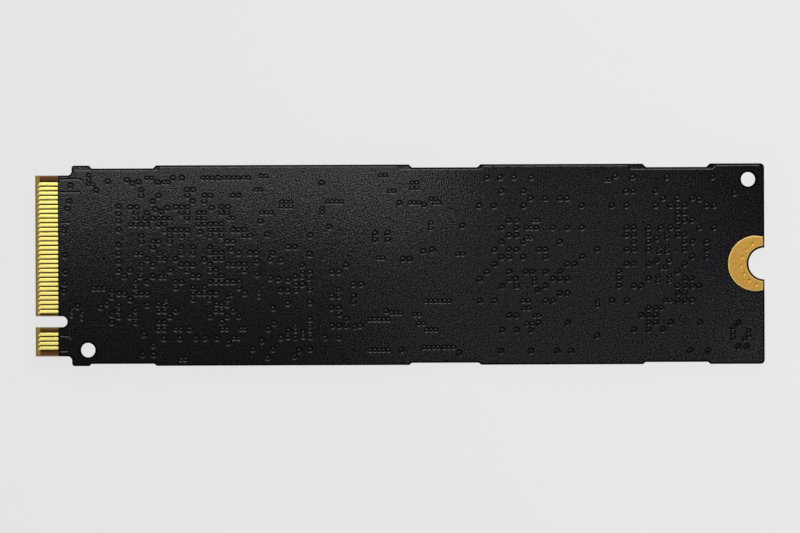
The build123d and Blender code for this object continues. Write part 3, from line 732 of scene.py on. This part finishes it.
def balls(name, node, made):
    """Barrels for all the balls of a package: circles whose radius swells with the sine of the height."""
    low, high = node_boxes(node)
    waist = (high - low)[0, 0] / 2
    radius = waist * (neck_share + (1 - neck_share) * np.sin(np.pi * ball_rows))
    turn = np.arange(ball_turns) * 2 * np.pi / ball_turns
    middle = (low + high) / 2
    x = middle[:, 0, None, None] + radius[:, None] * np.cos(turn)
    y = middle[:, 1, None, None] + radius[:, None] * np.sin(turn)
    z = (low[:, 2, None] + ball_rows * (high - low)[:, 2, None])[..., None]
    points = np.stack(np.broadcast_arrays(x, y, z), -1)
    grid = numbered(*points.shape[:3])
    after = np.roll(grid, -1, axis=2)
    walls = np.stack([grid[:, :-1], after[:, :-1], after[:, 1:], grid[:, 1:]], -1).reshape(-1, 4)
    faces = walls.tolist() + grid[:, 0, ::-1].tolist() + grid[:, -1].tolist()
    crease(new_piece(name, points.reshape(-1, 3), faces, made, node))


solder, tree, shader = finish("solder", Metallic=1.0)
frost = grained(tree, (0.05, 0.05, 0.05), 0, 1)
feed(tree, shader,
     Base_Color=blend(tree, frost, (0.44, 0.44, 0.43), (0.66, 0.66, 0.64)),
     Roughness=grained(tree, (0.08, 0.08, 0.08), 0.28, 0.5))
bump(tree, shader, frost, 0.006, 0.5)
packages = ("controller", "memory", "flash_1", "flash_2")
for package in packages:
    balls(package + "_balls", package + "_solder_balls", solder)

# Package substrates: thin glass and resin boards under each chip, sawn from a larger sheet, so that their
# edges show the dark resin and thin lines of copper between green lacquer skins.
saw_edge = 0.015 * MM
just_inside = 1.3  # a row on the flat, this many roundings in from the edge, keeps its shading level


def bodies(name, low, high, upright, edge, made, slot, node, cuts=((), ()), hollow=None):
    """Rectangular bodies that hang with their outer face down. The plan is a grid whose corner squares are
    drawn round to the upright radius; the height rounds over to the walls, which run to the base; a hollow
    sinks the face, with the rows of the cuts to shape it."""
    inner = np.linspace(edge, upright, 4)[1:] if upright > edge else [just_inside * edge]
    near = np.concatenate([[0], quarter(edge), inner])
    spans = []
    for k, cut in enumerate(cuts):
        ends = zip(low[:, k], high[:, k])
        spans.append(np.array([np.sort(np.concatenate([near + a, cut, b - near])) for a, b in ends]))
    across, along = spans[0][:, :, None], spans[1][:, None, :]
    middle_x, middle_y, _ = ((low + high) / 2).T[:, :, None, None]
    half_x, half_y, _ = ((high - low) / 2).T[:, :, None, None]
    gap_x, gap_y = half_x - np.abs(across - middle_x), half_y - np.abs(along - middle_y)
    round_x, round_y = np.clip(upright - gap_x, 0, None), np.clip(upright - gap_y, 0, None)
    drawn = np.maximum(round_x, round_y) / np.maximum(np.hypot(round_x, round_y), 1e-12)
    drawn = np.where((round_x > 0) & (round_y > 0), drawn, 1.0)
    x = across + np.sign(across - middle_x) * round_x * (drawn - 1)
    y = along + np.sign(along - middle_y) * round_y * (drawn - 1)
    drop = edge * (1 - round_over(np.minimum(gap_x, gap_y), edge))
    if hollow:
        drop = drop + hollow(x, y)
    outer = np.zeros(drop.shape[1:], bool)
    outer[[0, -1]] = outer[:, [0, -1]] = True
    z = np.where(outer, high[:, 2, None, None], low[:, 2, None, None] + drop)
    points = np.stack(np.broadcast_arrays(x, y, z), -1)
    grid = numbered(*points.shape[:3])
    base = np.concatenate([grid[:, :, 0], grid[:, -1, 1:], grid[:, -2::-1, -1], grid[:, 0, -2:0:-1]], 1)
    faces = sheet_faces(grid, True) + base.tolist()
    crease(new_piece(name, points.reshape(-1, 3), faces, made, node))


substrate, tree, shader = finish("package_substrate")
skin = mottled(tree, (0.5, 0.5, 0.5), (0.006, 0.016, 0.009), (0.010, 0.026, 0.014))
ply = mottled(tree, (2.0, 2.0, 0.03), (0.012, 0.014, 0.008), (0.16, 0.085, 0.035))
on_side = worked(tree, "LESS_THAN", worked(tree, "ABSOLUTE", upward(tree)), upright_face)
feed(tree, shader,
     Base_Color=blend(tree, on_side, skin, ply),
     Roughness=grained(tree, (0.2, 0.2, 0.05), 0.38, 0.6))
for package in packages:
    node = package + "_substrate"
    bodies(package + "_board", *node_boxes(node), 0, saw_edge, substrate, "package_substrate", node)

# Package caps: black epoxy filled with silica, moulded over the chip and sawn square, with a fine matt skin
# and a round moulded dimple that marks the first ball.
cap_edge = 0.03 * MM
ball_mark_inset, ball_mark_radius = 1.15 * MM, 0.45 * MM
ball_mark_floor, ball_mark_depth, ball_mark_rows = 0.72 * ball_mark_radius, 0.045 * MM, 15


def corner_mark(low, high, inset, radius, floor, depth, count):
    """A round dimple in the corner of low x and high y: so many rows each way to shape it, close together at
    its rim, and its depth over the face, which is flat out to the floor's radius with an eased wall."""
    spot = np.array([low[0, 0] + inset, high[0, 1] - inset])
    steps = radius * np.sin(np.linspace(-np.pi / 2, np.pi / 2, count))

    def hollow(x, y):
        return depth * (1 - ease(np.hypot(x - spot[0], y - spot[1]), floor, radius))

    return (spot[0] + steps, spot[1] + steps), hollow


mould, tree, shader = finish("mould_compound")
sparse, full, pale_grain = 0.72, 0.95, (0.040, 0.040, 0.041)  # where silica starts and fills, its colour
silica = grained(tree, (0.035, 0.035, 0.035), 0, 1)
filler = add(tree, "MapRange", {"Value": silica, "From Min": sparse, "From Max": full}).outputs[0]
cloud = mottled(tree, (1.6, 1.6, 1.6), (0.0095, 0.0095, 0.010), (0.0165, 0.0165, 0.017))
feed(tree, shader,
     Base_Color=blend(tree, filler, cloud, pale_grain),
     Roughness=grained(tree, (0.12, 0.12, 0.12), 0.44, 0.62))
bump(tree, shader, grained(tree, (0.05, 0.05, 0.05), 0, 1), 0.008, 0.6)
for package in packages:
    node = package + "_cap"
    box = node_boxes(node)
    mark = corner_mark(*box, ball_mark_inset, ball_mark_radius, ball_mark_floor, ball_mark_depth,
                       ball_mark_rows)
    bodies(package + "_mould", *box, 0, cap_edge, mould, "mould_compound", node, *mark)

# Small chips: the power chip and the input switch are leadless packages of the same black epoxy, moulded
# round a tinned copper frame whose feet end flush with the sides.
foot_edge = 0.02 * MM
foot_mark_inset, foot_mark_radius = 0.45 * MM, 0.2 * MM
foot_mark_floor, foot_mark_depth, foot_mark_rows = 0.12 * MM, 0.03 * MM, 11
tin, tree, shader = finish("lead_metal", Metallic=1.0)
bright = grained(tree, (0.15, 0.15, 0.15), 0, 1)
feed(tree, shader,
     Base_Color=blend(tree, bright, (0.52, 0.51, 0.49), (0.76, 0.75, 0.72)),
     Roughness=grained(tree, (0.06, 0.06, 0.06), 0.26, 0.46))
bump(tree, shader, bright, 0.008, 0.4)
for chip in ("power_chip", "input_switch"):
    node = chip + "_body"
    low, high = node_boxes(node)
    box = np.array([low.min(0)]), np.array([high.max(0)])
    mark = corner_mark(*box, foot_mark_inset, foot_mark_radius, foot_mark_floor, foot_mark_depth,
                       foot_mark_rows)
    bodies(chip + "_mould", *box, 0, cap_edge, mould, "mould_compound", node, *mark)
for chip in ("power_chip", "input_switch"):
    node = chip + "_leads"
    bodies(chip + "_feet", *node_boxes(node), 0, foot_edge, tin, "lead_metal", node)

# Inductors: pressed blocks of iron powder and resin, rounded at every edge, each with two tinned strips
# folded up its ends from the feet.
core_corner, core_edge = 0.22 * MM, 0.12 * MM
strip_thick, strip_bend = 0.1 * MM, 0.1 * MM


def folded_strips(name, node, made):
    """Strips folded once: a section of foot, bend and upright, its outer and inner lines a strip's thickness
    apart, carried across the strip's width."""
    points, faces = [], []
    for solid in loose_solids(node):
        low, high = solid.min(0), solid.max(0)
        top = solid[solid[:, 2] < low[2] + 1e-6, 0].mean()
        out = 1.0 if top > (low[0] + high[0]) / 2 else -1.0
        face, inner = (high[0], low[0]) if out > 0 else (low[0], high[0])
        back, sole = face - out * strip_thick, high[2] - strip_thick
        turn = np.linspace(0, np.pi / 2, 6)
        curve_x = face - out * strip_bend * (1 - np.sin(turn))
        curve_z = high[2] - strip_bend * (1 - np.cos(turn))
        line = np.array([(inner, high[2]), *zip(curve_x, curve_z), (face, low[2]), (back, low[2]),
                         (back, sole), (inner, sole)])
        grid = len(points) * 2 * len(line) + np.arange(2 * len(line)).reshape(2, -1)
        points.append(np.concatenate([np.insert(line, 1, y, axis=1) for y in (low[1], high[1])]))
        after = np.roll(grid, -1, axis=1)
        sides = np.stack([grid[0], after[0], after[1], grid[1]], -1)
        ring = sides.tolist() + [grid[0, ::-1].tolist(), grid[1].tolist()]
        faces += ring if out < 0 else [face[::-1] for face in ring]
    crease(new_piece(name, np.concatenate(points), faces, made, node))


core, tree, shader = finish("inductor_core")
powder = grained(tree, (0.06, 0.06, 0.06), 0, 1)
feed(tree, shader,
     Base_Color=blend(tree, powder, (0.028, 0.028, 0.030), (0.105, 0.105, 0.110)),
     Roughness=grained(tree, (0.2, 0.2, 0.2), 0.55, 0.75))
bump(tree, shader, powder, 0.015, 0.7)
bodies("inductor_blocks", *node_boxes("inductor_bodies"), core_corner, core_edge, core, "inductor_core",
       "inductor_bodies")
folded_strips("inductor_strips", "inductor_terminals", tin)

# Capacitors: stacks of ceramic and metal films fired into small blocks, tan on the outside, with ends dipped
# in metal and tinned.
dipped = 1.6  # roundness of a dipped end to that of its block
ceramic, tree, shader = finish("capacitor_ceramic")
feed(tree, shader,
     Base_Color=mottled(tree, (0.25, 0.25, 0.25), (0.22, 0.125, 0.062), (0.31, 0.185, 0.10)),
     Roughness=grained(tree, (0.1, 0.1, 0.1), 0.32, 0.5))
for kind, edge in (("bulk_capacitor", 0.06 * MM), ("bypass_capacitor", 0.035 * MM)):
    block, end, tip = kind + "_bodies", kind + "_ends", dipped * edge
    bodies(kind + "_blocks", *node_boxes(block), edge, edge, ceramic, "capacitor_ceramic", block)
    bodies(kind + "_tips", *node_boxes(end), tip, tip, tin, "lead_metal", end)

# Resistors: chips of white alumina, printed with a film and a black glaze on their outer face, with tinned
# ends. They are soldered flat like the capacitors, but are only half as thick.
chip_edge, glazed_face = 0.025 * MM, -0.6
tip_edge = 2 * chip_edge
alumina, tree, shader = finish("resistor_ceramic")
glazed = worked(tree, "LESS_THAN", upward(tree), glazed_face)
white = mottled(tree, (0.1, 0.1, 0.1), (0.58, 0.57, 0.53), (0.70, 0.69, 0.65))
black = mottled(tree, (0.12, 0.12, 0.12), (0.008, 0.008, 0.009), (0.020, 0.020, 0.021))
feed(tree, shader,
     Base_Color=blend(tree, glazed, white, black),
     Roughness=grained(tree, (0.1, 0.1, 0.1), 0.28, 0.45))
bodies("resistor_blocks", *node_boxes("resistor_bodies"), chip_edge, chip_edge, alumina, "resistor_ceramic",
       "resistor_bodies")
bodies("resistor_tips", *node_boxes("resistor_ends"), tip_edge, tip_edge, tin, "lead_metal", "resistor_ends")

# Clock crystal: a dark ceramic tray closed by a thin metal lid that is welded on round its rim.
# The lid has rounded corners and a faint brushed grain, and the weld stands a little above its middle.
tray_corner, lid_corner, crystal_edge = 0.12 * MM, 0.26 * MM, 0.03 * MM
weld, weld_height = 0.2 * MM * np.array([0.7, 0.95, 1.2]), 0.02 * MM  # insets across it, and its height
tray, tree, shader = finish("crystal_ceramic")
feed(tree, shader,
     Base_Color=mottled(tree, (0.12, 0.12, 0.12), (0.016, 0.014, 0.013), (0.034, 0.030, 0.027)),
     Roughness=grained(tree, (0.1, 0.1, 0.1), 0.5, 0.65))
bodies("crystal_tray", *node_boxes("crystal_base"), tray_corner, crystal_edge, tray, "crystal_ceramic",
       "crystal_base")
lid, tree, shader = finish("crystal_lid_metal", Metallic=1.0)
feed(tree, shader,
     Base_Color=mottled(tree, (0.9, 0.03, 0.9), (0.50, 0.46, 0.38), (0.66, 0.61, 0.50)),
     Roughness=grained(tree, (0.6, 0.04, 0.6), 0.26, 0.4))
low, high = node_boxes("crystal_lid")
lid_middle, lid_half = (low[0] + high[0]) / 2, (high[0] - low[0]) / 2


def sunk_middle(x, y):
    """Depth of the lid's middle below the welded rim."""
    rim = np.minimum(lid_half[0] - np.abs(x - lid_middle[0]), lid_half[1] - np.abs(y - lid_middle[1]))
    return weld_height * ease(rim, weld[0], weld[-1])


weld_rows = [np.concatenate([low[0, k] + weld, high[0, k] - weld[::-1]]) for k in (0, 1)]
bodies("crystal_cover", low, high, lid_corner, crystal_edge, lid, "crystal_lid_metal", "crystal_lid",
       weld_rows, sunk_middle)

# Solder fillets: at each chip's end and foot the molten solder climbed the metal and set in a hollow curve
# down to its pad on the board.
fillet_rows = np.array([0, 0.12, 0.28, 0.48, 0.72, 1.0])[:, None]  # shares of the run out from the metal
fillet_columns = np.array([-1, -0.96, -0.85, 0, 0.85, 0.96, 1])  # shares of half the width
foot_narrows, side_round, fillet_crease = 0.25, 8, 60


def fillets(name, node, made):
    """Hollow wedges: over a grid of shares out from the metal and across it, the height falls with the square
    of what is left of the run and rounds off to both sides, and the foot narrows a little."""
    low, high = node_boxes(node)
    crest = np.array([p[p[:, 2] < p[:, 2].min() + 1e-6].mean(0) for p in loose_solids(node)])[:, :2]
    out = ((low + high) / 2)[:, :2] - crest
    run = 2 * np.linalg.norm(out, axis=1)[:, None, None]
    out = out / np.linalg.norm(out, axis=1)[:, None]
    side = np.stack([-out[:, 1], out[:, 0]], 1)
    width = np.abs(((high - low)[:, :2] * side).sum(1))[:, None, None]
    base, rise = high[:, 2, None, None], (high - low)[:, 2, None, None]
    spread = width / 2 * fillet_columns * (1 - foot_narrows * fillet_rows**2)
    x, y = (
        crest[:, k, None, None] + out[:, k, None, None] * run * fillet_rows + side[:, k, None, None] * spread
        for k in (0, 1)
    )
    rounded = np.sqrt(np.clip(1 - np.abs(fillet_columns) ** side_round, 0, 1))
    z = base - rise * (1 - fillet_rows) ** 2 * rounded
    points = np.stack(np.broadcast_arrays(x, y, z), -1)
    grid = numbered(*points.shape[:3])
    foot = np.concatenate([grid[:, :, 0], grid[:, -1, 1:], grid[:, -2::-1, -1]], 1)
    faces = sheet_faces(grid, True) + foot.tolist() + grid[:, 0].tolist()
    crease(new_piece(name, points.reshape(-1, 3), faces, made, node), fillet_crease)


fillets("solder_runs", "solder_fillets", solder)

# Stage: a sheet of pale paper that shows bright, with painted light that grows a little from left to right,
# and keeps a faint shadow, in a room with pale walls and a dim ceiling. A large soft box stands past the
# card's upper edge, honeycombed ones hang over the card for its sheen, one stands off the contacts, and one
# lies below for views from there.
# paper at its left and right: painted light makes it brighter to the right between x of minus and plus the
# drift, in metres
paper_left, paper_right, paper_drift = 0.785, 0.832, 0.045
paper_reach, paper_drop, paper_glow = 1.5, 2e-5, 0.94
wall_bright, ceiling_bright, backdrop_bright, wall_top, ceiling_edge = 0.35, 0.06, 0.8, 0.40, 0.58
floor_mesh = bpy.data.meshes.new("floor")
corners = [(x * paper_reach, y * paper_reach, -paper_drop) for x, y in ((-1, -1), (1, -1), (1, 1), (-1, 1))]
floor_mesh.from_pydata(corners, [], [(0, 1, 2, 3)])
floor = bpy.data.objects.new("floor", floor_mesh)
bpy.context.scene.collection.objects.link(floor)
paper, tree, shader = finish("floor_paper", Roughness=0.9)
# painted light: the paper's colour and glow brighten from left to right
drift = add(tree, "MapRange", {"Value": spot_on(tree)[0], "From Min": -paper_drift, "From Max": paper_drift})
paper_and_light = blend(tree, drift.outputs[0], (paper_left,) * 3, (paper_right,) * 3)
feed(tree, shader, Base_Color=paper_and_light)
ray = add(tree, "LightPath").outputs
plain = most(tree, [ray["Is Camera Ray"], ray["Is Glossy Ray"], ray["Is Transmission Ray"]])
share = worked(tree, "MULTIPLY", plain, paper_glow)
glow = add(tree, "Emission", {"Color": paper_and_light, "Strength": 1.0})
sheet = add(tree, "MixShader", {0: share, 1: shader.outputs[0], 2: glow.outputs[0]})
from_below = most(tree, [add(tree, "NewGeometry").outputs["Backfacing"], ray["Is Shadow Ray"]])
clear = add(tree, "BsdfTransparent")
one_sided = add(tree, "MixShader", {0: from_below, 1: sheet.outputs[0], 2: clear.outputs[0]})
tree.links.new(one_sided.outputs[0], tree.nodes["Material Output"].inputs["Surface"])
floor_mesh.materials.append(paper)

world = bpy.data.worlds.new("studio")
bpy.context.scene.world = world
world.use_nodes = True
tree = world.node_tree
room = tree.nodes["Background"]
room.inputs["Color"].default_value = (1, 1, 1, 1)
way = add(tree, "SeparateXYZ", {0: add(tree, "TexCoord").outputs["Generated"]}).outputs[2]
walls = add(tree, "MapRange", {"Value": worked(tree, "ABSOLUTE", way), "From Min": wall_top,
                               "From Max": ceiling_edge, "To Min": wall_bright, "To Max": ceiling_bright})
seen = add(tree, "LightPath").outputs["Is Camera Ray"]
pale = add(tree, "Mix", {"Factor": seen, "A": walls.outputs[0], "B": backdrop_bright})
feed(tree, room, Strength=pale.outputs["Result"])


def softbox(name, place, aim, width, depth, radiance, reach=90):
    """Rectangular soft light at a place, turned to an aim with its width along the card, in millimetres.
    Radiance is what it looks like from straight ahead, white being 1, and a honeycomb on it lets light out to
    so many degrees from there."""
    light = bpy.data.lights.new(name, "AREA")
    light.shape = "RECTANGLE"
    light.size, light.size_y = width * MM, depth * MM
    light.energy = radiance * math.pi * light.size * light.size_y
    if reach < 90:
        light.spread = 2 * math.radians(reach)
        light.energy *= 1 - math.radians(reach) / math.tan(math.radians(reach))
    lamp = bpy.data.objects.new(name, light)
    bpy.context.scene.collection.objects.link(lamp)
    lamp.location = Vector(place) * MM
    away = (Vector(place) - Vector(aim)).normalized()
    along = (Vector((1, 0, 0)) - away * away.x).normalized()
    lamp.rotation_euler = Matrix((along, away.cross(along), away)).transposed().to_euler()
    lamp.visible_camera = False


softbox("key_box", (0, 105, 121), (0, 0, 0), 160, 80, 5.2)
softbox("upper_left_box", (-33, 20, 86), (-33, 10, 0), 76, 27, 2.4, 36)
softbox("left_fill_box", (-33, -1, 86), (-33, -1, 0), 76, 11, 0.22, 36)
softbox("lower_right_box", (62, -21, 117), (50, -12, 0), 39, 36, 1.06, 36)
softbox("middle_box", (18.5, -4, 145), (18.5, -4, 0), 44, 46, 0.62, 36)
softbox("ceiling_box", (0, 0, 180), (0, 0, 0), 230, 110, 0.22, 36)
softbox("contact_box", (-150, -115, 80), (-38, -7, 0), 110, 120, 3.6)
softbox("under_box", (0, -60, -150), (0, 0, 0), 200, 160, 1.6)

film, distance, card_top = 36.0, 0.6, 2.2 * MM  # width of the film in millimetres, heights in metres
aside, below, turn = 0.01 * MM, -0.19 * MM, -0.0035  # of the picture's middle from the card's, and its turn
pixels, pixels_to_mm = 800, 9.1135  # across the picture, and to the millimetre at the card's top
view = bpy.data.cameras.new("camera")
view.sensor_width = film
view.lens = film * (distance - card_top) / (pixels / pixels_to_mm * MM)
view.clip_start, view.clip_end = 0.01, 20
camera = bpy.data.objects.new("camera", view)
bpy.context.scene.collection.objects.link(camera)
camera.location = (aside, below, distance)
camera.rotation_euler = Euler((0, 0, turn))
bpy.context.scene.camera = camera
bpy.context.scene.view_settings.view_transform = "Standard"
